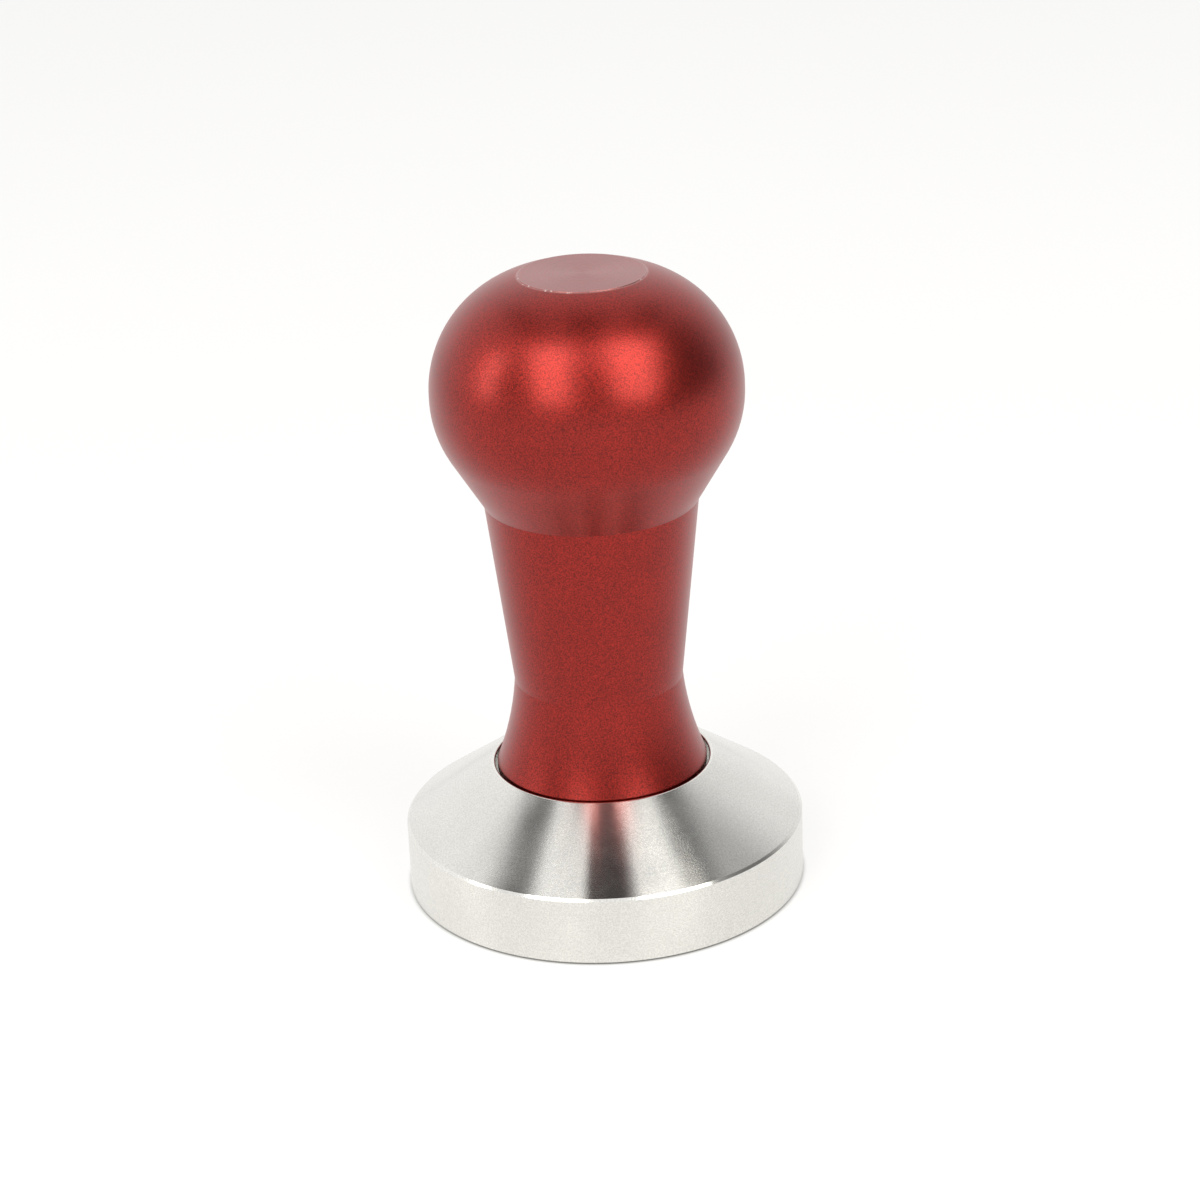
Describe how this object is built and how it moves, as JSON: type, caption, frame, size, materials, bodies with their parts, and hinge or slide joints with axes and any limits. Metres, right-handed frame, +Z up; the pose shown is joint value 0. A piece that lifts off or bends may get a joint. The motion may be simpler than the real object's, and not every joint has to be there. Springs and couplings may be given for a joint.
{
  "type": "espresso tamper",
  "caption": "Espresso tamper: a turned handle with a flat-topped ball and flared foot, screwed onto a flat round steel base with a conical top.",
  "frame": {"origin": "centre of the tamping face, on the surface that the tamper stands on", "axes": "+Z up along the axis that all pieces are turned about; the part is the same all round it"},
  "size_m": [0.058, 0.058, 0.0921],
  "materials": {
    "stainless_steel": "fine turned satin, with a bright rim chamfer",
    "black_rubber": "matt moulded rubber",
    "plated_steel": "bright zinc plate",
    "red_anodised_aluminium": "bead-blasted and red anodised, satin, with a finely turned flat top"
  },
  "bodies": {
    "base": {"tamper_base": "stainless_steel"},
    "washer": {"friction_washer": "black_rubber"},
    "handle": {"handle": "red_anodised_aluminium", "threaded_stud": "plated_steel"}
  },
  "joints": [
    {"name": "washer_lift", "type": "slide", "parent": "base", "child": "washer", "axis": [0, 0, 1], "range_m": [0, 0.0075]},
    {"name": "handle_unscrew", "type": "hinge", "parent": "washer", "child": "handle", "pos_m": [0, 0, 0.0158], "axis": [0, 0, 1], "range_deg": [0, 2160]}
  ],
  "couplings": [
    {"joint": "handle_unscrew", "follows": "washer_lift", "rad_per_m": 5026.5}
  ]
}
